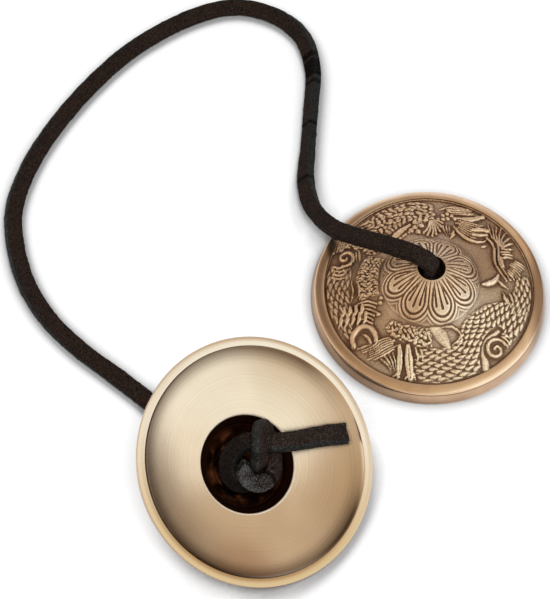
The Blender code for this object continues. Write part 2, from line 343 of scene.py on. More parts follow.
places, rolls = thong[:, :3], thong[:, 3]
thong_faces = faces_from_roll(places, rolls)
first_cut = cut_rows(thong, END_STRETCHES[0])
last_cut = len(thong) - cut_rows(thong[::-1], END_STRETCHES[1])
relief_faces = faces_carried(relief_knot, thong_faces[0], 0.6)
open_faces = faces_carried(open_knot, thong_faces[-1], 0.3)
stem_rows = cut_rows(relief_knot, RELIEF_STEM_LENGTH)
open_stem_rows = cut_rows(open_knot, RELIEF_STEM_LENGTH + 6.0)


def stretch(name, pieces, seed=1, **more):
    """A lace through several runs of (points, faces), joined end to end."""
    points = np.vstack([points for points, _ in pieces])
    faces = np.vstack([faces for _, faces in pieces])
    keep = np.concatenate([[True], np.linalg.norm(np.diff(points, axis=0), axis=1) > 0.15])
    return sweep_lace(name, points[keep], faces[keep], seed=seed, **more)


def part_of(line, faces, start, end):
    return line[start:end, :3], faces[start:end]


thong_main = stretch("thong_main", [part_of(thong, thong_faces, first_cut - 1, last_cut + 1)],
                     start=length_of(thong[:first_cut]))
thong_at_relief = stretch("thong_at_relief", [
    (relief_knot[:stem_rows][::-1], relief_faces[:stem_rows][::-1]),
    part_of(thong, thong_faces, 0, first_cut)], start=-length_of(relief_knot[:stem_rows]))
thong_at_open = stretch("thong_at_open", [
    part_of(thong, thong_faces, last_cut, len(thong)),
    (open_knot[:open_stem_rows], open_faces[:open_stem_rows])],
    start=length_of(thong[:last_cut + 1]))
knot_in_relief = stretch("knot_in_relief", [
    (relief_knot[stem_rows - 2:], relief_faces[stem_rows - 2:])], scale=KNOT_SCALE)
knot_in_open = stretch("knot_in_open", [
    (open_knot[open_stem_rows - 2:], open_faces[open_stem_rows - 2:])],
    scale=KNOT_SCALE, flare=0.30)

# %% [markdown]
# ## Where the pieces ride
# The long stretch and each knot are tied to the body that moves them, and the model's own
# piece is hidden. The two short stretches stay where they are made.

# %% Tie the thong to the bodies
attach(thong_main, "thong")
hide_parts("thong")
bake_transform(thong_at_relief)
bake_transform(thong_at_open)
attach(knot_in_relief, "relief_knot")
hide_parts("relief_knot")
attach(knot_in_open, "open_knot")
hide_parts("open_knot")

# %% [markdown]
# ## The cymbal's section
# A cymbal is cast and then turned on a lathe, so it is a solid of revolution with a relief on
# its back. We draw half of its section once, in millimetres from its rim plane, as a few
# zones: the dome with its rosette and the field of the relief, the ring and wall at the rim,
# the lip, the turned bowl, and the mouth and depth of the recess for the knot. Each zone later
# has its finish.

# %% The section, zone by zone
RIM_RADIUS = 35.0
LIP_WIDTH = 2.5
LIP_SLOPE = 0.36
EDGE = 0.5
SHOULDER = (1.1, 0.95)
SHOULDER_TURN = 19
WALL_HEIGHT = 4.5
WALL_FLARE = 1.0
WALL_ROUNDING = 0.4
RING_WIDTH = 2.9
RING_RISE = 0.9
RING_STEP = 0.3
HOLE_RADIUS = 3.5
HOLE_CHAMFER = 0.6
RECESS_RADIUS = 13.95
RECESS_DEPTH = 7.55
RECESS_TOP_RADIUS = 7.6
BOSS_WALL = 3.0
FOOT_WALL = 2.1
PLATE_WALL = 2.3
FOOT_FILLET = 2.0
FOOT_RISE = 1.4
SEAM = 0.18
ROSETTE_PITCH = 0.16
FIELD_PITCH = 0.2


def arc(start, end, turn, steps):
    """Points along an arc from start to end that turns by turn degrees, positive to the left."""
    a, b = np.array(start, float), np.array(end, float)
    half = math.radians(turn) / 2
    chord = b - a
    reach = np.linalg.norm(chord)
    left = np.array([-chord[1], chord[0]]) / reach
    centre = (a + b) / 2 + left * reach / 2 / math.tan(half)
    spoke = a - centre
    turns = [2 * half * k / steps for k in range(steps + 1)]
    return [tuple(centre + [spoke[0] * math.cos(t) - spoke[1] * math.sin(t),
                            spoke[0] * math.sin(t) + spoke[1] * math.cos(t)]) for t in turns]


FOOT = (RECESS_RADIUS + FOOT_WALL, RECESS_DEPTH + PLATE_WALL)
DOME_FOOT = (FOOT[0] - FOOT_FILLET, FOOT[1] + FOOT_RISE)
HOLE_EDGE = (HOLE_RADIUS + HOLE_CHAMFER, CYMBAL_HEIGHT)
RING_IN = (RIM_RADIUS - WALL_FLARE - RING_WIDTH, WALL_HEIGHT + RING_RISE)
RING_OUT = (RIM_RADIUS - WALL_FLARE - WALL_ROUNDING, WALL_HEIGHT + 0.3 * WALL_ROUNDING)
FIELD_EDGE = (RING_IN[0] - RING_STEP / 2, RING_IN[1] - RING_STEP)
WALL_TOP = (RIM_RADIUS - WALL_FLARE, WALL_HEIGHT - WALL_ROUNDING)
BACK = np.array(arc(HOLE_EDGE, DOME_FOOT, -24, 24) + arc(DOME_FOOT, FOOT, 26, 8)[1:]
                + [FIELD_EDGE])
BACK_RADII = np.concatenate([np.arange(HOLE_EDGE[0], DOME_FOOT[0], ROSETTE_PITCH),
                             np.arange(DOME_FOOT[0], FIELD_EDGE[0] - 0.05, FIELD_PITCH),
                             [FIELD_EDGE[0]]])


def back_points():
    """The back's section, closely spaced because the relief is carved into these rings."""
    heights = np.interp(BACK_RADII, BACK[:, 0], BACK[:, 1])
    return [(float(r), float(z)) for r, z in zip(BACK_RADII, heights)]


def section():
    """Each zone's name with its points. A zone starts at the last point of the one before."""
    ceiling = CYMBAL_HEIGHT - BOSS_WALL
    lip_in = RIM_RADIUS - LIP_WIDTH
    shoulder = (lip_in - SHOULDER[0], LIP_SLOPE + SHOULDER[1])
    mouth_edge = (RECESS_RADIUS + EDGE, RECESS_DEPTH)
    throat = (RECESS_RADIUS, RECESS_DEPTH + EDGE)
    dark_edge = (RECESS_TOP_RADIUS, ceiling - 0.6)
    hole_mouth = (HOLE_RADIUS, CYMBAL_HEIGHT - HOLE_CHAMFER)
    return [
        ("back", back_points()),
        ("ring", [(RING_IN[0] - 0.08, RING_IN[1] - 0.08), (RING_IN[0] + 0.1, RING_IN[1])]
            + [(RING_OUT[0] - 0.15, RING_OUT[1] + 0.045)] + arc(RING_OUT, WALL_TOP, -62, 8)),
        ("seam", [(WALL_TOP[0] - SEAM, WALL_TOP[1] - SEAM), (WALL_TOP[0], WALL_TOP[1] - 2 * SEAM)]),
        ("wall", arc((WALL_TOP[0] + 0.1, WALL_TOP[1] - 0.5), (RIM_RADIUS, 0.35), -14, 5)),
        ("lip", arc((RIM_RADIUS, 0.2), (RIM_RADIUS - 0.14, 0.0), -70, 3)
            + arc((lip_in + 0.15, LIP_SLOPE), (lip_in, LIP_SLOPE + 0.1), -40, 3)),
        ("bowl", arc((lip_in - 0.06, LIP_SLOPE + 0.2), shoulder, SHOULDER_TURN, 8)
            + arc(shoulder, mouth_edge, 12, 24)[1:]),
        ("mouth", arc(mouth_edge, throat, -80, 4)[1:]),
        ("recess", arc((RECESS_RADIUS, RECESS_DEPTH + 1.2 * EDGE), dark_edge, 14, 12)
            + arc(dark_edge, (RECESS_TOP_RADIUS - 0.8, ceiling), 50, 3)[1:]
            + [(HOLE_RADIUS + 0.3, ceiling), (HOLE_RADIUS, ceiling + 0.3), hole_mouth]),
    ]


print(f"the section has {sum(len(points) for _, points in section())} points")

# %% [markdown]
# ## Carving a relief
# The founder presses the relief into the mould, so it stands about half a millimetre proud
# of its ground. On a computer such a relief could be a height picture, or it could be
# sculpted. Here it is a formula for the height over the plan: every carved form, such as a
# ridge, a band of scales or a fan of feathers, is laid over the ones before it, and the
# highest wins. The forms are placed one by one, in millimetres from the hole's axis, and a band
# is given round the axis, as degrees with its inner and outer radius.

# %% The carver's tools
MIDDLE_RADIUS = 23.0
HAND = 0.045
HAND_LENGTH = 2.6
LUMPS = 0.022
LUMP_LENGTH = 0.9
DEPTH = 1.3


def chance(row, column, seed):
    """A number from nought to one that looks random but belongs to one cell of a pattern."""
    value = np.sin(row * 12.9898 + column * 78.233 + seed * 3.7) * 43758.5453
    return value - np.floor(value)


def swell(x, y, length, seed):
    """A random swell over the plan, of about one unit, with waves about length long."""
    rng = np.random.default_rng(seed)
    total = 0
    for _ in range(12):
        heading, start = rng.uniform(0, 2 * math.pi, 2)
        rate = 2 * math.pi / length * rng.uniform(0.6, 1.6)
        total = total + np.sin(rate * (x * math.cos(heading) + y * math.sin(heading)) + start)
    return total / math.sqrt(6)


class Carving:
    """Heights over the plan of the cymbal's back, built up one form at a time."""

    def __init__(self, x, y):
        self.x = x + HAND * swell(x, y, HAND_LENGTH, 11)
        self.y = y + HAND * swell(x, y, HAND_LENGTH, 12)
        self.radius = np.hypot(self.x, self.y)
        self.degrees = np.degrees(np.arctan2(self.y, self.x))
        self.height = np.zeros(len(x))

    def near(self, line, reach):
        """The rows within reach of a line: how far off it they are and how far along it."""
        low, high = line.min(axis=0) - reach, line.max(axis=0) + reach
        rows = np.flatnonzero((self.x > low[0]) & (self.x < high[0])
                              & (self.y > low[1]) & (self.y < high[1]))
        dx = self.x[rows, None] - line[None, :, 0]
        dy = self.y[rows, None] - line[None, :, 1]
        nearest = (dx**2 + dy**2).argmin(axis=1)
        pick = np.arange(len(rows))
        dx, dy = dx[pick, nearest], dy[pick, nearest]
        steps = np.linalg.norm(np.diff(line, axis=0), axis=1)
        travelled = np.concatenate([[0.0], np.cumsum(steps)])
        return rows, np.hypot(dx, dy), travelled[nearest] / travelled[-1]

    def lay(self, rows, heights):
        self.height[rows] = np.maximum(self.height[rows], heights)

    def clear(self, route, width):
        """Takes a lane along a route back to bare ground, with sloping edges."""
        rows, off, _ = self.near(smooth_line(route, 0.3), width)
        self.height[rows] *= np.clip((off / width - 0.8) / 0.2, 0, 1)

    def ridge(self, route, width, height, ends=(0.5, 0.2)):
        """A ridge along a route, roof-shaped but for its soft crest, tapered to both ends."""
        rows, off, along = self.near(smooth_line(route, 0.25), width)
        half = width * np.interp(along, [0, 0.4, 1], [ends[0], 1, ends[1]])
        crown = np.clip(1 - (off / half) ** 1.6, 0, 1) ** 0.75
        self.lay(rows, height * crown * np.sqrt(np.minimum(1, 1.4 * half / width)))

    def leaf(self, route, width, height, ends=(0.55, 0.15)):
        """A leaf: a broad ridge with a groove cut along its middle."""
        rows, off, along = self.near(smooth_line(route, 0.25), width)
        half = width * np.interp(along, [0, 0.45, 1], [ends[0], 1, ends[1]])
        crown = np.sqrt(np.clip(1 - (off / half) ** 2, 0, 1))
        vein = np.clip(1 - off / 0.26, 0, 1) * (half > 0.4) * (along > 0.06)
        self.lay(rows, height * crown - 0.5 * height * vein * (crown > 0))

    def sheaf(self, first, last, count, width, height, ends=(0.6, 0.3)):
        """Ridges side by side, from the first route to the last, which have as many points."""
        for share in np.linspace(0, 1, count):
            route = [[a + (b - a) * share for a, b in zip(p, q)] for p, q in zip(first, last)]
            line = smooth_line(route, 0.3)
            luck, other = chance(share, route[0][0], 1), chance(share, route[0][1], 2)
            line = line[int(len(line) * 0.2 * luck):len(line) - int(len(line) * 0.25 * other)]
            self.ridge(line, width * (0.85 + 0.35 * other), height * (0.8 + 0.35 * luck), ends)

    def fan(self, base, tips, width, height, bend=0.12, ends=(0.5, 0.5)):
        """Ridges that spread from one base to their tips, each a little bent."""
        bx, by = base
        for tx, ty in tips:
            middle = ((bx + tx) / 2 - bend * (ty - by), (by + ty) / 2 + bend * (tx - bx))
            self.ridge([base, middle, (tx, ty)], width, height, ends)

    def whorl(self, centre, radius, turns, width, height, start=0.0):
        """A spiral ridge that winds in from radius to its centre."""
        count = 8 * max(1, round(turns * 2))
        route = []
        for k in range(count + 1):
            angle = math.radians(start) + 2 * math.pi * turns * k / count
            reach = radius * (1 - 0.85 * k / count)
            route.append((centre[0] + reach * math.cos(angle), centre[1] + reach * math.sin(angle)))
        self.ridge(route, width, height, (0.8, 0.7))

    def knobs(self, places, radius, height):
        """Round berries."""
        for px, py in places:
            off = np.hypot(self.x - px, self.y - py)
            rows = np.flatnonzero(off < radius)
            self.lay(rows, height * (1 - (off[rows] / radius) ** 2) ** 0.7)

    def band(self, bounds):
        """The rows of a band round the axis: its bounds are (degrees, inner, outer) radii."""
        degrees, inner, outer = np.array(bounds, float).T
        turned = degrees[0] + np.mod(self.degrees - degrees[0], 360)
        inside = self.radius - np.interp(turned, degrees, inner)
        outside = np.interp(turned, degrees, outer) - self.radius
        ends = np.minimum(turned - degrees[0], degrees[-1] - turned) * math.radians(1) * self.radius
        edge = np.minimum(np.minimum(inside, outside), ends)
        rows = np.flatnonzero(edge > 0)
        along = np.radians(turned[rows]) * MIDDLE_RADIUS
        return rows, along, self.radius[rows] - MIDDLE_RADIUS, edge[rows]

    def scales(self, bounds, pitch=1.7, across=1.95, lift=0.6, back=0.24, turn=1, seed=1):
        """A round-backed body under pointed scales, whose rows overlap like tiles."""
        rows, along, side, edge = self.band(bounds)
        u = turn * along / pitch + 0.22 * np.sin(side * 0.8)
        v = side / across + 0.20 * np.sin(along * 0.5)
        shape = np.zeros(len(rows))
        found = np.zeros(len(rows), bool)
        for step in (-1, 0):
            row = np.floor(u) + step
            shifted = v - 0.5 * np.mod(row, 2)
            column = np.round(shifted)
            luck, other = chance(row, column, seed), chance(column, row, seed + 2)
            du, dv = u - row - 0.24 * (luck - 0.5), shifted - column - 0.16 * (other - 0.5)
            half = 0.50 * np.clip(1 - (np.clip(du - 0.30, 0, None) / 1.15) ** 1.3, 0, 1)
            inside = ~found & (np.abs(dv) < half)
            tent = np.clip(1 - np.abs(dv) / np.maximum(half, 0.01), 0, 1)
            tile = (0.35 + 0.75 * np.clip(du / 1.25, 0, 1)) * tent ** 0.7
            shape = np.where(inside, tile * (0.75 + 0.45 * luck), shape)
            found |= inside
        hump = np.sqrt(np.clip(edge / 1.4, 0, 1))
        self.lay(rows, hump * (back + lift * (shape - 0.35)))

    def foliage(self, bounds, pitch=1.6, across=1.4, lift=0.6, back=0.26, lean=0.0, seed=3):
        """A body under a crowd of small pointed leaves, none quite like the next."""
        rows, along, side, edge = self.band(bounds)
        u = (along + 0.30 * np.sin(side * 1.7)) / pitch
        v = (side + 0.35 * np.sin(along * 0.9)) / across
        best = np.zeros(len(rows))
        for i in (-1, 0, 1):
            for j in (-1, 0, 1):
                row, column = np.floor(u) + i, np.floor(v) + j
                luck, other = chance(row, column, seed), chance(column, row, seed + 5)
                du = u - row - 0.5 - 0.35 * (luck - 0.5)
                dv = v - column - 0.5 - 0.3 * np.mod(row, 2) - 0.35 * (other - 0.5)
                turn = lean + 2.6 * (luck - 0.5)
                size = 0.75 + 0.45 * chance(row, column, seed + 9)
                a = du * np.cos(turn) + dv * np.sin(turn)
                b = dv * np.cos(turn) - du * np.sin(turn)
                b = b + 0.5 * (luck - 0.5) * a**2
                crown = np.clip(1 - np.abs(a / 0.75) ** 1.7 - np.abs(b / 0.50 / size) ** 1.7, 0, 1)
                groove = 0.6 * np.clip(1 - np.abs(b) / 0.13, 0, 1) * (a > -0.3) * (other > 0.5)
                best = np.maximum(best, (crown**0.7 - groove * crown) * (0.7 + 0.5 * other))
        hump = np.sqrt(np.clip(edge / 1.2, 0, 1))
        self.lay(rows, hump * (back + lift * (best - 0.45)))


# %% [markdown]
# ## The rosette on the dome
# Eight lotus petals surround the hole. A petal is a teardrop: a circle and the two lines from
# the axis that touch it. The distance to its edge is easy to work out, so every groove that
# follows the outline is a fixed distance inside it. Three slots open its heart. The petals'
# bands are at the dome's own height, and the grooves and the ground are sunk below it.

# %% Carve the rosette
PETALS = 8
PETAL_CENTRE = 10.15
PETAL_RADIUS = 3.85
FIRST_PETAL = math.radians(15)
ROSETTE_DEPTH = 0.42
ROSETTE_END = 14.6
SLOTS = ((0.0, 11.6, 0.44), (0.158, 10.7, 0.40))


def dip(value, centre, half):
    """A round-bottomed groove of depth one, twice half wide, about centre."""
    return np.sqrt(np.clip(1 - ((value - centre) / half) ** 2, 0, 1))


def rosette(x, y):
    """The rosette's height, from nought at the dome's own surface down to its depth."""
    radius, angle = np.hypot(x, y), np.arctan2(y, x)
    sector = 2 * math.pi / PETALS
    local = np.mod(angle - FIRST_PETAL + sector / 2, sector) - sector / 2
    p, q = radius * np.cos(local), np.abs(radius * np.sin(local))
    opening = math.asin(PETAL_RADIUS / PETAL_CENTRE)
    to_circle = PETAL_RADIUS - np.hypot(p - PETAL_CENTRE, q)
    to_line = p * math.sin(opening) - q * math.cos(opening)
    on_side = p * math.cos(opening) + q * math.sin(opening) < PETAL_CENTRE * math.cos(opening)
    inside = np.where(on_side, to_line, to_circle)
    depth = np.clip(1 - inside / 0.3, 0, 1)
    depth = np.maximum(depth, dip(inside, 1.05, 0.32) * np.clip((p - 4.6) / 1.5, 0, 1))
    for turn, end, wide in SLOTS:
        away = np.abs(q - p * math.tan(turn))
        half = wide * np.clip(0.3 + 0.7 * np.clip((p - 4.5) / (end - 4.5), 0, 1) ** 1.5, 0.3, 1)
        past = np.clip(p - end + wide, 0, None)
        slot = np.sqrt(np.clip(1 - (away**2 + past**2) / half**2, 0, 1))
        depth = np.maximum(depth, slot)
    scallop = 0.75 * dip(inside, -0.62, 0.34) + 0.35 * dip(inside, -1.35, 0.3)
    depth = np.where(inside < 0, 1 - scallop, depth)
    strength = 0.45 + 0.55 * np.clip((radius - 4.4) / 3.0, 0, 1)
    at_hole = np.clip((radius - HOLE_EDGE[0] - 0.1) / 0.5, 0, 1)
    blend = np.clip((ROSETTE_END - radius) / 0.9, 0, 1)
    return -ROSETTE_DEPTH * strength * at_hole * (depth * blend + 0.8 * (1 - blend))


# %% [markdown]
# ## The dragon round the rosette
# A dragon winds round the field in the traditional way: a body under rows of scales, claws,
# a flowing mane and tail in long feathers, and curled clouds, leaves and berries where
# nothing else fits. Little ground stays bare, so that the whole ring glitters.

# %% Carve the dragon
LINE = 0.5


def carve_body(carving):
    """The scaly body: the long curve at the lower right, and the flank at the left."""
    carving.scales([(-104, 21.5, 27.5), (-97, 20.5, 30.2), (-88, 20.6, 30.6), (-76, 20.8, 30.4),
                    (-67, 18.6, 30.2), (-58, 16.2, 30.0), (-46, 15.4, 29.6), (-34, 16.0, 29.8),
                    (-25, 17.4, 30.2), (-17, 20.5, 30.0), (-12, 25.0, 29.6)])
    carving.scales([(163, 23.5, 30.2), (172, 23.2, 30.6), (181, 23.6, 30.6), (190, 23.8, 30.4),
                    (199, 24.4, 30.2), (206, 25.0, 29.8), (213, 26.6, 29.4)], across=1.7, seed=4)
    carving.scales([(-22, 24.2, 30.2), (-14, 24.4, 30.4), (-6, 24.6, 30.4), (1, 25.2, 30.3),
                    (7, 26.6, 29.8)], pitch=1.6, across=1.7, seed=6)
    carving.sheaf([(22.6, -3.6), (23.2, -6.2), (24.4, -8.6)],
                  [(24.6, -2.2), (25.6, -5.0), (26.0, -7.6)], 3, 0.45, LINE)
    carving.ridge([(-21.1, 1.4), (-20.7, -1.6), (-21.7, -4.2)], 0.62, 0.7)
    carving.ridge([(-22.9, 2.2), (-22.6, -1.4), (-23.3, -4.4)], 0.42, LINE)


def carve_clouds(carving):
    """The crowded leaves along the upper left, with a curl, strands and berries."""
    carving.foliage([(84, 22.6, 28.6), (91, 21.0, 30.0), (99, 18.8, 30.4), (108, 17.6, 30.4),
                     (117, 16.8, 30.2), (127, 16.4, 29.6), (138, 17.0, 29.8), (149, 19.0, 30.2)],
                    lean=1.1)
    carving.foliage([(148, 15.2, 20.0), (154, 15.4, 21.4), (161, 15.6, 21.4), (167, 15.6, 20.8)],
                    pitch=1.5, across=1.2, seed=7)
    carving.clear([(-11.6, 14.8), (-9.2, 16.8), (-7.0, 18.8), (-5.0, 20.4)], 1.7)
    carving.ridge([(-11.6, 14.8), (-9.2, 16.8), (-7.0, 18.8), (-5.0, 20.4)], 1.35, 0.55,
                  (0.35, 0.5))
    carving.knobs([(-3.4, 19.4), (-1.4, 20.0), (-2.5, 17.6), (-1.6, 22.2), (-3.3, 21.4),
                   (-4.6, 18.2), (0.2, 22.4)], 0.98, 0.62)
    carving.fan((1.0, 21.6), [(-0.9, 16.9), (0.1, 15.9), (1.6, 15.7), (2.8, 16.5), (3.9, 17.8),
                (4.7, 19.4), (4.9, 21.2)], 0.66, 0.56, ends=(0.4, 0.8))
    carving.knobs([(2.2, 23.0), (3.9, 22.6), (0.7, 24.1), (2.5, 24.6), (6.8, 24.9), (8.1, 24.1),
                   (6.7, 22.9), (8.9, 23.0), (7.3, 26.2), (5.4, 24.2), (5.3, 22.6)], 0.74, 0.55)
    carving.whorl((-24.5, 10.6), 2.9, 1.3, 0.66, 0.62, start=250)
    carving.sheaf([(-28.4, 8.4), (-26.2, 7.3), (-23.2, 7.9)],
                  [(-29.0, 4.6), (-26.4, 3.6), (-23.4, 4.2)], 4, 0.5, LINE)
    carving.sheaf([(-28.0, 12.2), (-27.2, 14.6), (-24.8, 17.6)],
                  [(-24.6, 13.8), (-23.2, 15.6), (-20.8, 17.4)], 5, 0.55, LINE)
    carving.foliage([(160, 15.4, 21.4), (170, 15.2, 21.8), (182, 15.2, 21.6), (193, 15.4, 21.4)],
                    pitch=1.0, across=2.3, seed=8)
    carving.sheaf([(-22.4, 11.6), (-22.0, 8.8)], [(-20.4, 12.2), (-20.2, 8.6)], 3, 0.5, LINE)


def carve_left_foot(carving):
    """The toes and the horseshoe under the flank, and the clawed foot at the bottom."""
    for row, (count, top) in enumerate(((5, -8.6), (4, -6.2))):
        for toe in range(count):
            x = -26.9 + 1.75 * (toe + 0.5 * row)
            carving.ridge([(x + 0.7, top), (x + 0.5, top - 1.9), (x - 0.3, top - 3.6 - 0.15 * toe)],
                          0.95, 0.72, (0.7, 0.2))
    carving.sheaf([(-21.6, -5.6), (-18.6, -5.2), (-15.4, -6.6)],
                  [(-21.0, -10.2), (-18.8, -11.4), (-16.8, -12.6)], 6, 0.52, 0.54, (0.5, 0.7))
    carving.knobs([(-14.9, -6.2), (-14.6, -4.8), (-15.6, -9.6)], 0.7, 0.5)
    carving.ridge([(-23.0, -18.3), (-23.3, -15.6), (-21.6, -13.3), (-19.1, -12.9),
                   (-17.0, -14.7), (-16.4, -17.4)], 1.1, 0.72, (0.8, 0.8))
    carving.ridge([(-20.2, -14.9), (-18.9, -16.0), (-18.0, -17.8)], 0.6, 0.5, (0.4, 0.8))
    carving.ridge([(-22.0, -19.1), (-19.6, -18.6), (-17.4, -18.2)], 0.4, 0.35)
    carving.sheaf([(-11.8, -16.8), (-15.0, -17.4), (-17.4, -18.9), (-21.0, -20.0)],
                  [(-10.4, -20.0), (-13.6, -21.4), (-16.0, -22.4), (-18.8, -23.0)],
                  7, 0.44, 0.56, (0.8, 0.35))
    carving.sheaf([(-15.6, -22.6), (-13.6, -24.4), (-12.0, -27.0)],
                  [(-11.8, -20.8), (-11.2, -23.8), (-11.0, -27.0)], 4, 0.42, LINE)
    carving.leaf([(-9.8, -19.6), (-9.8, -23.6), (-10.4, -28.2)], 1.05, 0.72, (0.6, 0.6))
    carving.leaf([(-7.3, -19.8), (-7.2, -24.2), (-6.9, -29.0)], 1.45, 0.78, (0.5, 0.7))
    carving.fan((-7.0, -27.0), [(-8.6, -29.0), (-7.0, -29.8), (-5.4, -29.2)], 0.55, 0.6)
    carving.fan((-10.2, -26.6), [(-12.0, -28.0), (-10.8, -29.0)], 0.5, 0.55)
    carving.sheaf([(-5.2, -20.4), (-4.6, -22.6), (-4.9, -25.4)],
                  [(-3.8, -20.6), (-3.2, -22.8), (-3.6, -25.0)], 2, 0.5, LINE)
    carving.foliage([(-135, 16.6, 19.6), (-127, 15.6, 20.6), (-117, 15.4, 20.4),
                     (-107, 15.2, 20.8), (-98, 15.0, 20.6), (-91, 15.2, 20.4)],
                    across=1.5, seed=9)
    carving.ridge([(0.4, -15.4), (2.4, -17.2), (4.4, -20.4)], 2.1, 0.36, (0.7, 0.5))
    carving.ridge([(2.8, -14.9), (5.8, -14.8), (8.1, -16.6), (8.3, -19.0), (6.4, -20.9)], 0.5,
                  0.55, (0.4, 0.4))
    carving.sheaf([(8.6, -16.6), (7.4, -18.4), (5.4, -20.0)],
                  [(9.2, -19.6), (7.8, -21.0), (6.2, -22.0)], 3, 0.42, LINE)


def carve_tail(carving):
    """The curl and the stalk in the scales, and the feathers that close the ring."""
    stalk = [(19.4, -15.0), (16.4, -18.0), (15.0, -21.8), (15.2, -26.2)]
    carving.clear(stalk, 1.7)
    carving.ridge(stalk, 1.3, 0.36, (0.4, 0.9))
    carving.clear([(18.2, -20.8), (18.8, -20.4)], 4.0)
    carving.whorl((18.5, -20.6), 3.3, 1.35, 0.72, 0.68, start=35)
    carving.sheaf([(20.4, -15.6), (22.2, -16.6), (23.8, -18.4)],
                  [(19.4, -17.2), (21.0, -18.2), (22.2, -19.8)], 3, 0.5, 0.6)
    carving.sheaf([(4.6, 26.8), (9.4, 27.7), (14.8, 26.4)],
                  [(8.4, 24.9), (12.2, 24.9), (16.4, 24.7)], 5, 0.44, 0.52, (0.5, 0.4))
    carving.leaf([(9.8, 23.0), (13.4, 22.8), (17.6, 24.2)], 1.1, 0.62, (0.4, 0.6))
    carving.sheaf([(9.6, 22.2), (12.8, 21.4), (16.0, 20.8), (18.4, 20.9)],
                  [(8.2, 20.4), (10.4, 17.8), (13.0, 15.9), (16.2, 15.4)], 7, 0.44, 0.55)
    carving.ridge([(13.4, 18.4), (16.0, 19.0), (18.6, 18.7)], 1.1, 0.66, (0.5, 0.8))
    carving.ridge([(12.8, 17.0), (15.4, 16.9), (18.2, 17.2)], 0.8, 0.5, (0.4, 0.8))
    carving.ridge([(8.4, 19.6), (10.0, 16.9), (12.8, 14.6), (16.4, 14.2), (18.2, 15.6)], 0.8,
                  0.62)
    carving.ridge([(16.0, 12.4), (17.4, 12.8), (18.4, 13.2)], 0.5, 0.4)
    carving.sheaf([(5.2, 20.6), (5.2, 18.4), (6.0, 15.6)], [(7.2, 20.2), (6.8, 18.4),
                  (7.0, 16.2)], 3, 0.44, LINE)
    carving.ridge([(8.2, 17.8), (7.8, 16.2), (6.9, 14.8)], 0.85, 0.52)
    carving.ridge([(18.0, 15.9), (19.7, 13.6), (19.9, 10.4), (19.8, 7.0), (21.0, 4.2),
                   (22.8, 1.4)], 0.62, 0.7, (0.8, 0.5))
    carving.ridge([(19.8, 16.2), (21.2, 13.4), (21.2, 10.6), (21.0, 7.6), (22.2, 4.8),
                   (24.2, 1.8)], 0.5, 0.6, (0.6, 0.5))
    carving.fan((22.6, 12.4), [(18.9, 21.8), (20.2, 20.4), (21.5, 20.9), (22.9, 20.2),
                (24.1, 18.8), (25.2, 17.0), (25.9, 14.8)], 0.46, 0.56)
    carving.sheaf([(21.9, 12.2), (24.2, 12.4), (25.9, 12.9)],
                  [(22.2, 9.2), (24.2, 9.6), (26.2, 8.9)], 4, 0.52, 0.56)
    carving.ridge([(21.6, 9.0), (21.9, 7.4), (22.2, 6.0)], 1.05, 0.6, (0.7, 0.5))
    carving.sheaf([(25.6, 8.8), (27.8, 7.6), (29.6, 6.4)],
                  [(23.0, 4.6), (24.8, 2.8), (25.8, 1.4)], 8, 0.44, 0.54)
    carving.ridge([(15.6, -1.0), (17.4, -0.5), (19.4, 0.8), (20.6, 2.8)], 1.05, 0.7, (0.5, 0.5))
    carving.ridge([(20.2, 0.9), (21.5, -0.3), (23.4, -1.5)], 0.58, 0.7)
    carving.ridge([(21.4, -2.8), (22.2, -5.0), (23.2, -7.6)], 0.62, 0.64)


def carve_dragon(x, y):
    carving = Carving(x, y)
    for carve in (carve_body, carve_clouds, carve_left_foot, carve_tail):
        carve(carving)
    lumps = swell(x, y, LUMP_LENGTH, 13) * np.clip(carving.height / 0.3, 0.4, 1.2)
    return DEPTH * carving.height + LUMPS * lumps


# %% [markdown]
# ## From section to casting
# The section is spun round its axis with bmesh's spin, which is what a lathe does. The back
# needs finer faces than the rest, so only its circles are subdivided, twice where the relief
# is. Then the back's vertices are lifted by the relief. The mesh keeps what its finishes
# need: each vertex's own place on the cymbal, and how much it stands above what is close to
# it and above what is further round it, which tells hollows and crests. Both cymbals are
# cast from this one pattern.

# %% Spin and carve the pattern
ZONES = ("back", "ring", "seam", "wall", "lip", "bowl", "mouth", "recess")
SPIN_STEPS = 160
FINE_RADIUS = 8.5
GROUND = 0.42
NEAR_SOFTENING = 7
FAR_SOFTENING = 70


def spun_cymbal():
    """The whole section spun, with a material index for each zone and finer circles."""
    bm = bmesh.new()
    zone_of = []
    outline = []
    for number, (_, points) in enumerate(section()):
        outline += points
        zone_of += [number] * len(points)
    step = bm.verts.layers.int.new("step")
    verts = []
    for k, (r, z) in enumerate(outline):
        verts.append(bm.verts.new((r, 0.0, z)))
        verts[-1][step] = k
    edges = [bm.edges.new(pair) for pair in zip(verts, verts[1:] + verts[:1])]
    bmesh.ops.spin(bm, geom=verts + edges, axis=(0, 0, 1), cent=(0, 0, 0), dvec=(0, 0, 0),
                   angle=2 * math.pi, steps=SPIN_STEPS, use_merge=True, use_duplicate=False)
    for face in bm.faces:
        steps = sorted({vert[step] for vert in face.verts})
        closing = steps[-1] - steps[0] > 1
        face.material_index = zone_of[-1] if closing else zone_of[steps[-1]]
    bmesh.ops.recalc_face_normals(bm, faces=bm.faces)
    last = len(BACK_RADII) - 1
    for start in (HOLE_EDGE[0], FINE_RADIUS):
        circles = [edge for edge in bm.edges
                   if edge.verts[0][step] == edge.verts[1][step] < last
                   and math.hypot(*edge.verts[0].co.xy) > start]
        bmesh.ops.subdivide_edges(bm, edges=circles, cuts=1)
    for vert in bm.verts:
        if vert[step] < last:
            ring = outline[vert[step]][0]
            vert.co.xy *= ring / math.hypot(*vert.co.xy)
    return bm


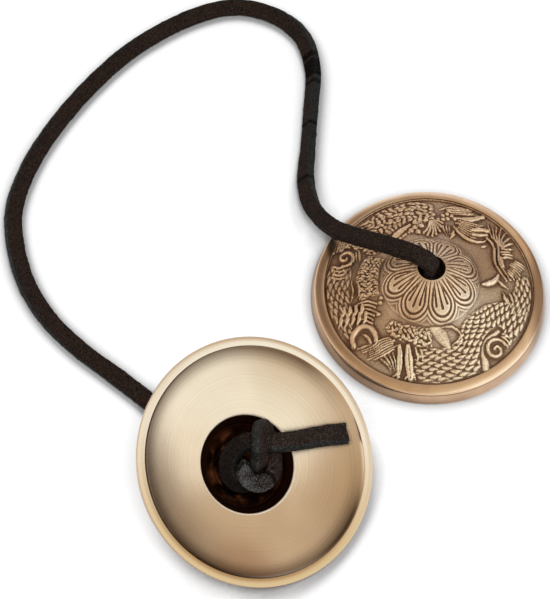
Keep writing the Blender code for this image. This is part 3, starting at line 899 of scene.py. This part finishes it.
def softened(values, edges, rounds):
    """Values spread along the mesh's edges, a little further in each round."""
    a, b = edges
    count = len(values)
    share = np.bincount(a, minlength=count) + np.bincount(b, minlength=count)
    for _ in range(rounds):
        total = np.bincount(a, values[b], count) + np.bincount(b, values[a], count)
        values = 0.3 * values + 0.7 * total / share
    return values


def carve_back(mesh):
    """Lifts the back by the rosette and the dragon, and keeps what the finishes need."""
    count = len(mesh.vertices)
    own = np.empty(count * 3, np.float32)
    mesh.vertices.foreach_get("co", own)
    own = own.reshape(-1, 3).astype(float)
    on_back = np.zeros(count, bool)
    for face in mesh.polygons:
        if face.material_index == 0:
            on_back[list(face.vertices)] = True
    rows = np.flatnonzero(on_back)
    x, y = own[rows, 0], own[rows, 1]
    radius = np.hypot(x, y)
    field = np.clip((radius - ROSETTE_END) / 0.5, 0, 1)
    field *= np.clip((FIELD_EDGE[0] - radius) / 0.3, 0, 1)
    relief = np.zeros(count)
    relief[rows] = field * (carve_dragon(x, y) - GROUND)
    relief[rows] += np.where(radius < ROSETTE_END, rosette(x, y), 0)
    edge = np.clip((radius - ROSETTE_END) / 0.5, 0, 1) * (radius < FOOT[0])
    relief[rows] -= np.where(radius < ROSETTE_END, 0, GROUND * (1 - edge) * (radius < FOOT[0]))
    own[:, 2] += relief
    mesh.vertices.foreach_set("co", own.astype(np.float32).ravel())
    edges = np.empty(len(mesh.edges) * 2, np.int64)
    mesh.edges.foreach_get("vertices", edges)
    edges = edges.reshape(-1, 2).T
    near = softened(relief, edges, NEAR_SOFTENING)
    far = softened(near, edges, FAR_SOFTENING)
    for name, kind, values in (("own_place", "FLOAT_VECTOR", own), ("crest", "FLOAT", relief - near),
                               ("rise", "FLOAT", near - far)):
        attribute = mesh.attributes.new(name, kind, "POINT")
        key = "vector" if kind == "FLOAT_VECTOR" else "value"
        attribute.data.foreach_set(key, values.astype(np.float32).ravel())


def cast_pattern():
    bm = spun_cymbal()
    mesh = bpy.data.meshes.new("pattern")
    bm.to_mesh(mesh)
    bm.free()
    carve_back(mesh)
    mesh.shade_smooth()
    mesh.set_sharp_from_angle(angle=math.radians(50))
    mesh.calc_loop_triangles()
    print(f"the pattern has {len(mesh.loop_triangles)} triangles")
    return mesh


# %% [markdown]
# ## Two castings
# Each casting is a copy of the pattern's mesh, taken to its place. The open cymbal is turned
# over, so its turned side shows, and its relief is underneath.

# %% Cast both cymbals
def make_cymbal(name, pattern, place):
    mesh = pattern.copy()
    mesh.name = name
    mesh.transform(Matrix.Scale(MM, 4) @ place)
    thing = bpy.data.objects.new(name, mesh)
    bpy.context.scene.collection.objects.link(thing)
    return thing


pattern = cast_pattern()
relief_cast = make_cymbal("relief_cast", pattern, relief_place())
open_cast = make_cymbal("open_cast", pattern, open_place())
bpy.data.meshes.remove(pattern)
for piece, node in ((relief_cast, "relief_cymbal"), (open_cast, "open_cymbal")):
    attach(piece, node)
    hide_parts(node)

# %% [markdown]
# ## Writing shader maths
# A finish is a formula, but nodes are slow to read as Python. So a small class wraps a
# socket and adds a Math node for every plus and times that is written with it. Colours and
# vectors have nodes of their own, because a Math node would turn a colour grey.

# %% A small language for finishes
class Signal:
    """A number that varies over a surface, as the output of a node."""

    def __init__(self, finish, socket):
        self.finish, self.socket = finish, socket

    def maths(self, operation, first, second):
        return self.finish.node("ShaderNodeMath", {"operation": operation}, {0: first, 1: second})

    def __add__(self, other):
        return self.maths("ADD", self, other)

    def __sub__(self, other):
        return self.maths("SUBTRACT", self, other)

    def __rsub__(self, other):
        return self.maths("SUBTRACT", other, self)

    def __mul__(self, other):
        return self.maths("MULTIPLY", self, other)

    __radd__, __rmul__ = __add__, __mul__

    def ramp(self, low, high):
        """Nought below low, one above high and smooth between them."""
        settings = {"interpolation_type": "SMOOTHSTEP"}
        return self.finish.node("ShaderNodeMapRange", settings,
                                {"Value": self, "From Min": low, "From Max": high})


class Nodes:
    """A node tree under construction, with one method that adds any node."""

    def node(self, kind, settings=None, inputs=None, output=0):
        made = self.tree.nodes.new(kind)
        for key, value in (settings or {}).items():
            setattr(made, key, value)
        self.plug(made, inputs or {})
        return Signal(self, made.outputs[output])

    def plug(self, made, inputs):
        for key, value in inputs.items():
            if isinstance(value, Signal):
                self.tree.links.new(value.socket, made.inputs[key])
            else:
                made.inputs[key].default_value = value


class Finish(Nodes):
    """A material, with the nodes that its looks are written with."""

    def __init__(self, name):
        self.material = bpy.data.materials.new(name)
        self.material.use_nodes = True
        self.tree = self.material.node_tree
        self.shader = self.tree.nodes["Principled BSDF"]

    def set(self, **inputs):
        self.plug(self.shader, {key.replace("_", " "): value for key, value in inputs.items()})

    def attribute(self, name, vector=False):
        return self.node("ShaderNodeAttribute", {"attribute_name": name}, output=1 if vector else 2)

    def noise(self, place, scale, detail=3.0, rough=0.55):
        return self.node("ShaderNodeTexNoise", {"noise_dimensions": "3D"}, {
            "Vector": place, "Scale": scale, "Detail": detail, "Roughness": rough})

    def stretch(self, place, by):
        return self.node("ShaderNodeVectorMath", {"operation": "MULTIPLY"}, {0: place, 1: by})

    def mix(self, share, one, other):
        """One colour where share is nought and the other where it is one."""
        def full(colour):
            return colour if isinstance(colour, Signal) else (*colour, 1.0)
        return self.node("ShaderNodeMix", {"data_type": "RGBA"},
                         {0: share, 6: full(one), 7: full(other)}, output=2)

    def bump(self, height, distance, strength=1.0, under=None):
        inputs = {"Height": height, "Distance": distance * MM, "Strength": strength}
        if under is not None:
            inputs["Normal"] = under
        return self.node("ShaderNodeBump", {}, inputs)


# %% [markdown]
# ## Leather
# The lace is cut from thick dark leather. Its narrow right side is the skin's own grain,
# nearly black and a little green. The other three sides are cut, brown and fibrous like
# suede. The lace's own place, kept by the sweep, tells the shader which side it is on, and
# makes the fibres follow the lace round every bend. Leather pales where it is stretched, so
# the outside of a tight bend is greyer, and handling has left the knots dusty.

# %% Leather
def leather(name, dust, pale, loop=0.0, deep=0.0):
    """The knot's first loop is made paler and more speckled; its deep loop is painted black as
    shade.
    """
    finish = Finish(name)
    place = finish.attribute("lace_place", vector=True)
    split = finish.node("ShaderNodeSeparateXYZ", {}, {0: place})
    travelled = finish.node("ShaderNodeSeparateXYZ", {}, {0: place}, output=2)
    on_loop = travelled.ramp(2.5, 6.0) - travelled.ramp(14.0, 20.0)
    inside = travelled.ramp(46.0, 54.0) - travelled.ramp(72.0, 78.0)
    wander = finish.noise(finish.stretch(place, (0.4, 0.4, 0.12)), 1.0, 2.0)
    grain_side = (split + (wander - 0.5) * 0.5).ramp(1.95, 2.25)
    fibre = finish.noise(finish.stretch(place, (1.0, 1.0, 0.6)), 2.2, 4.0, 0.7)
    fluff = finish.noise(finish.stretch(place, (1.0, 1.0, 0.8)), 3.4, 2.0, 0.8)
    patch = finish.noise(finish.stretch(place, (0.3, 0.3, 0.1)), 1.0, 3.0)
    pores = finish.noise(place, 4.5, 2.0, 0.6)
    speckle = (fibre * 0.6 + fluff * 0.4).ramp(0.40, 0.66)
    suede = finish.mix(speckle, (0.006, 0.0033, 0.0022), (0.036, 0.018, 0.0105))
    suede = finish.mix(patch.ramp(0.45, 0.75) * 0.35, suede, (0.034, 0.014, 0.0065))
    skin = finish.mix(pores.ramp(0.35, 0.65), (0.0042, 0.0047, 0.0043), (0.016, 0.017, 0.016))
    colour = finish.mix(grain_side, suede, skin)
    stretched = finish.attribute("bend").ramp(0.16, 0.50) * (0.35 + speckle * 0.65)
    colour = finish.mix(stretched * (pale + on_loop * loop), colour, (0.115, 0.120, 0.122))
    specks = fluff.ramp(0.54, 0.63)
    colour = finish.mix(specks * (dust + on_loop * loop), colour, (0.20, 0.21, 0.215))
    # Painted shade: the loop that lies deep in the recess is darkened nearly to black.
    colour = finish.mix(inside * deep, colour, (0.004, 0.003, 0.0025))
    finish.set(Base_Color=colour, Roughness=0.92 - grain_side * 0.30)
    rough_side = finish.bump(fluff * 0.5 + fibre, 0.35, 0.9)
    finish.set(Normal=finish.bump(pores * grain_side, 0.1, 0.5, under=rough_side))
    finish.shader.inputs["Specular IOR Level"].default_value = 0.14
    return finish.material


thong_leather = leather("dark_leather", dust=0.16, pale=0.08)
knot_leather = leather("dust_and_shade_leather", dust=0.34, pale=0.22, loop=0.45, deep=0.65)
for piece in (thong_main, thong_at_relief, thong_at_open):
    piece.data.materials.append(thong_leather)
for piece in (knot_in_relief, knot_in_open):
    piece.data.materials.append(knot_leather)

# %% [markdown]
# ## Bronze
# The same metal shows five finishes. The back is antiqued: a dark brown patina stays in the
# hollows, and the crests are worn back to bright metal, which toward the lower right is
# painted paler still, a painted highlight. The ring and wall are satin, with fine marks round
# the rim; the wall's copy is darker than the ring's, painted shade, one side of both is
# darkened with painted shade, and a thin dark line of painted shade runs along the ring's
# inner edge. The lip and the bowl are turned, so a tool has left rings; painted shade darkens
# the bowl under the lip and the lip on its near side. The recess is dark and coppery, its
# darkness painted shade, and the chamfer at its mouth is painted pale as a highlight.

# %% Bronze
PAINTED_SHADE_SIDE = (1.0, -0.05, 0.0)
PAINTED_LIGHT_SIDE = (0.58, -0.815, 0.0)
FAR_SIDE = (-0.61, -0.79, 0.0)


def ring_marks(finish, own, scale, detail=2.0):
    """A pattern that varies with the radius alone, as a lathe tool leaves it."""
    plan = finish.stretch(own, (1.0, 1.0, 0.0))
    radius = finish.node("ShaderNodeVectorMath", {"operation": "LENGTH"}, {0: plan}, output=1)
    line = finish.node("ShaderNodeCombineXYZ", {}, {0: radius})
    return radius, finish.noise(line, scale, detail, 0.7)


def antique_bronze():
    finish = Finish("antique_bronze")
    own = finish.attribute("own_place", vector=True)
    crest, rise = finish.attribute("crest"), finish.attribute("rise")
    cloudy = finish.noise(own, 0.16, 3.0)
    grit = finish.noise(own, 3.4, 3.0, 0.65)
    fine = finish.noise(own, 9.0, 2.0)
    worn = (crest * 1.4 + rise * 0.45 + (grit - 0.5) * 0.10).ramp(-0.16, 0.14)
    side = finish.node("ShaderNodeVectorMath", {"operation": "DOT_PRODUCT"},
                       {0: own, 1: PAINTED_LIGHT_SIDE}, output=1)
    hollow = finish.mix(cloudy.ramp(0.35, 0.65), (0.14, 0.072, 0.042), (0.20, 0.11, 0.068))
    metal = finish.mix(cloudy.ramp(0.3, 0.7), (0.80, 0.57, 0.38), (0.88, 0.66, 0.46))
    # Painted highlight: toward the lower right, the bright metal is painted paler still.
    metal = finish.mix(side.ramp(5.0, 14.0) * 0.7, metal, (1.0, 0.87, 0.67))
    colour = finish.mix(worn, hollow, metal)
    colour = finish.mix(grit.ramp(0.50, 0.72) * 0.42, colour, (0.30, 0.175, 0.105))
    finish.set(Base_Color=colour, Roughness=0.24 - worn * 0.09, Metallic=1.0)
    finish.set(Normal=finish.bump(grit + fine * 0.4, 0.18, 0.7))
    return finish.material


def satin_bronze(name, dark, light):
    finish = Finish(name)
    own = finish.attribute("own_place", vector=True)
    radius, marks = ring_marks(finish, own, 5.0)
    cloudy = finish.noise(own, 0.09, 3.0)
    metal = finish.mix(cloudy.ramp(0.35, 0.68), dark, light)
    metal = finish.mix(marks.ramp(0.45, 0.8) * 0.3, metal, (0.37, 0.23, 0.145))
    side = finish.node("ShaderNodeVectorMath", {"operation": "DOT_PRODUCT"},
                       {0: own, 1: PAINTED_SHADE_SIDE}, output=1)
    # Painted shade: one side of the ring and wall is darkened.
    metal = finish.mix(side.ramp(28.5, 32.5) * 0.70, metal, (0.17, 0.085, 0.05))
    # Painted shade: a thin dark line along the ring's inner edge, in the crease by the field.
    edge = radius.ramp(31.05, 31.25)
    finish.set(Base_Color=finish.mix(edge, (0.12, 0.062, 0.036), metal),
               Roughness=0.20 + marks * 0.10, Metallic=1.0)
    finish.set(Normal=finish.bump(marks, 0.03, 0.5))
    return finish.material


def turned_bronze(name, dark, light, painted_shade, unshaded_side):
    """Turned metal with painted shade in a band round it, which fades out toward one side."""
    finish = Finish(name)
    own = finish.attribute("own_place", vector=True)
    radius, marks = ring_marks(finish, own, 1.9, 4.0)
    side = finish.node("ShaderNodeVectorMath", {"operation": "DOT_PRODUCT"},
                       {0: own, 1: unshaded_side[0]}, output=1)
    chatter = finish.noise(finish.stretch(own, (1.0, 1.0, 0.2)), 1.4, 2.0)
    cloudy = finish.noise(own, 0.05, 2.0)
    metal = finish.mix(cloudy.ramp(0.35, 0.7), dark, light)
    metal = finish.mix(marks.ramp(0.42, 0.70) * 0.22, metal, (0.52, 0.37, 0.24))
    # Painted shade in a band of radii, fading out toward the unshaded side.
    kept = 1 - side.ramp(*unshaded_side[1])
    share, inner, outer, colour = painted_shade
    metal = finish.mix(radius.ramp(inner, outer) * kept * share, metal, colour)
    finish.set(Base_Color=metal, Roughness=0.22 + marks * 0.08, Metallic=1.0)
    finish.set(Normal=finish.bump(marks + chatter * 0.12, 0.04, 0.5))
    return finish.material


def mouth_painted_highlight():
    """The narrow chamfer at the recess's mouth, painted pale as a highlight."""
    finish = Finish("mouth_painted_highlight")
    own = finish.attribute("own_place", vector=True)
    cloudy = finish.noise(own, 0.3, 2.0)
    metal = finish.mix(cloudy.ramp(0.3, 0.7), (0.82, 0.67, 0.51), (0.94, 0.82, 0.67))
    finish.set(Base_Color=metal, Roughness=0.45 + cloudy * 0.1, Metallic=0.35)
    return finish.material


def dark_recess():
    """The inside, nearly black as painted shade, with coppery rings where it is deep."""
    finish = Finish("dark_recess")
    own = finish.attribute("own_place", vector=True)
    radius, marks = ring_marks(finish, own, 1.6, 3.0)
    cloudy = finish.noise(own, 0.16, 2.0)
    deep = radius.ramp(5.0, 7.0) * (1 - radius.ramp(9.0, 12.5)) * cloudy.ramp(0.42, 0.66)
    metal = finish.mix(marks.ramp(0.4, 0.7), (0.06, 0.022, 0.010), (0.24, 0.085, 0.034))
    metal = finish.mix(deep * marks.ramp(0.35, 0.65), metal, (0.40, 0.11, 0.036))
    finish.set(Base_Color=metal, Roughness=0.36 + marks * 0.15, Metallic=1 - deep * 0.6)
    finish.set(Normal=finish.bump(marks, 0.08, 0.5))
    return finish.material


ring_satin = satin_bronze("satin_ring", (0.74, 0.53, 0.37), (0.86, 0.65, 0.46))
# The wall's copy is darker than the ring's: painted shade.
shaded_wall_satin = satin_bronze("satin_wall_painted_shade", (0.46, 0.295, 0.185), (0.55, 0.375, 0.245))
# Painted shade darkens the bowl under the lip, but fades out toward the tail.
bowl_finish = turned_bronze("turned_bowl", (0.70, 0.555, 0.41), (0.76, 0.61, 0.46),
                            painted_shade=(0.80, 27.4, 32.6, (0.10, 0.055, 0.03)),
                            unshaded_side=(PAINTED_LIGHT_SIDE, (22.0, 32.0)))
# Painted shade makes the lip's near side darker and more golden.
lip_finish = turned_bronze("turned_lip", (0.71, 0.58, 0.455), (0.74, 0.62, 0.50),
                           painted_shade=(0.85, 20.0, 30.0, (0.55, 0.365, 0.18)),
                           unshaded_side=(FAR_SIDE, (-28.0, 16.0)))
mouth_finish = mouth_painted_highlight()
recess_finish = dark_recess()
# The seam, a small groove at the top of the wall, takes the recess's dark finish: a painted shade
# line.
zone_finish = dict(back=antique_bronze(), ring=ring_satin, seam=recess_finish, wall=shaded_wall_satin,
                   lip=lip_finish, bowl=bowl_finish, mouth=mouth_finish, recess=recess_finish)
for piece in (relief_cast, open_cast):
    for zone in ZONES:
        piece.data.materials.append(zone_finish[zone])

# %% [markdown]
# ## A plain studio
# Metal is seen by what it reflects, so the surroundings are as much a part of the finish as
# the metal is. Pale warm walls have a few broad soft panels: bright ones at the right and at
# the back, a dim one at the left and a dark gap low at the right. Leather and everything
# else that is matt gets plain even light, and the camera sees plain white.

# %% The surroundings
WALLS = (0.77, 0.66, 0.515)
PANELS = (
    ((-0.12, 0.02, 1.00), 26, (0.60, 0.47, 0.31)),
    ((0.52, -0.36, 0.77), 32, (1.30, 1.42, 1.42)),
    ((0.91, -0.37, 0.20), 38, (1.28, 1.42, 1.46)),
    ((0.12, 0.96, 0.26), 33, (1.07, 1.11, 1.18)),
    ((-0.75, -0.25, 0.60), 24, (1.15, 1.12, 1.02)),
    ((0.44, -0.13, 0.89), 17, (1.36, 1.42, 1.38)),
    ((0.95, 0.00, 0.34), 17, (1.28, 1.30, 1.24)),
    ((0.56, 0.66, 0.50), 16, (0.48, 0.32, 0.205)),
    ((0.68, 0.66, -0.32), 52, (0.05, 0.031, 0.022)),
    ((0.97, 0.24, -0.10), 23, (0.12, 0.075, 0.05)),
    ((-0.27, 0.52, 0.81), 27, (0.20, 0.143, 0.113)),
)
PANEL_CORE = 0.4
PLAIN_LIGHT = 0.50


class Looks(Finish):
    """A node tree that can tell the rays that see a thing from those that only light it."""

    def __init__(self, tree):
        self.tree = tree

    def path(self, ray):
        made = self.tree.nodes.new("ShaderNodeLightPath")
        return Signal(self, made.outputs[ray])


def make_surroundings():
    world = bpy.data.worlds.new("studio")
    world.use_nodes = True
    bpy.context.scene.world = world
    looks = Looks(world.node_tree)
    toward = looks.node("ShaderNodeTexCoord", output=0)
    walls = WALLS
    for centre, reach, colour in PANELS:
        facing = looks.node("ShaderNodeVectorMath", {"operation": "DOT_PRODUCT"},
                            {0: toward, 1: Vector(centre).normalized()}, output=1)
        edges = [math.cos(math.radians(reach * share)) for share in (1, PANEL_CORE)]
        walls = looks.mix(facing.ramp(*edges), walls, colour)
    plain = (PLAIN_LIGHT,) * 3
    lit = looks.mix(looks.path("Is Glossy Ray"), plain, walls)
    seen = looks.mix(looks.path("Is Camera Ray"), lit, (1.0, 1.0, 1.0))
    looks.plug(world.node_tree.nodes["Background"], {"Color": seen, "Strength": 1.0})


make_surroundings()

# %% [markdown]
# ## The table
# The table is pale and matt, so the object's shadow falls on it. To look at, it has a little
# glow of its own, which takes it to plain white. Near the object, and more on the side away
# from the lamp, the glow is dimmed: a painted shadow. The metal mirrors a glow with a painted
# shade of its own near the object and a painted sheen toward the right. The glow throws no
# light on the object, because only rays that look at the table find it.

# %% The white table
TABLE_SIZE = 0.6
TABLE_DROP = 0.05
TOWARD_LIGHT = (0.10, -0.50, 0.86)
TABLE_GLOW = 0.62
SHEEN = (20 * MM, 50 * MM)


def make_table():
    bm = bmesh.new()
    bmesh.ops.create_grid(bm, x_segments=1, y_segments=1, size=TABLE_SIZE / 2 / MM)
    table = finish_mesh("table", bm, Matrix.Translation((0, 0, -TABLE_DROP)))
    finish = Finish("white_table")
    finish.set(Base_Color=(0.45, 0.45, 0.455, 1.0), Roughness=1.0)
    finish.shader.inputs["Specular IOR Level"].default_value = 0.0
    looks = Looks(finish.tree)

    def open_sky(reach, shut, clear, facing=(0.0, 0.0, 1.0)):
        closed_in = looks.node("ShaderNodeAmbientOcclusion", {"samples": 8},
                               {"Distance": reach * MM, "Normal": facing}, output=1)
        return closed_in.ramp(shut, clear)

    place = looks.node("ShaderNodeSeparateXYZ", {}, {0: looks.node("ShaderNodeTexCoord", output=3)})
    # What the metal mirrors: painted shade near the object, and a painted sheen toward the right.
    mirrored = open_sky(29.0, 0.69, 0.85) + place.ramp(*SHEEN) * 1.05
    # What the camera sees: a painted shadow, dimmed near the object and away from the lamp.
    in_view = open_sky(9.0, 0.60, 0.88) * open_sky(24.0, 0.47, 0.66, TOWARD_LIGHT)
    glow = (looks.path("Is Camera Ray") + looks.path("Is Transmission Ray")) * in_view
    glow = glow + looks.path("Is Glossy Ray") * mirrored
    finish.set(Emission_Color=looks.mix(glow, (0.0, 0.0, 0.0), (1.0, 1.0, 1.0)),
               Emission_Strength=TABLE_GLOW)
    table.data.materials.append(finish.material)


make_table()

# %% [markdown]
# ## The lamps
# One broad disc from above and in front is enough. It is hidden from reflections, because the
# surroundings already give the metal what it shows.

# %% The lamps
def soft_lamp(name, place, target, size, power):
    lamp = bpy.data.lights.new(name, "AREA")
    lamp.shape = "DISK"
    lamp.size = size
    lamp.energy = power
    thing = bpy.data.objects.new(name, lamp)
    bpy.context.scene.collection.objects.link(thing)
    thing.location = place
    aim = Vector(target) - Vector(place)
    thing.rotation_euler = aim.to_track_quat("-Z", "Y").to_euler()
    thing.visible_glossy = False


soft_lamp("key", (0.06, -0.30, 0.90), (0, 0.02, 0), 0.22, 5.4)
bpy.context.scene.view_settings.view_transform = "Standard"
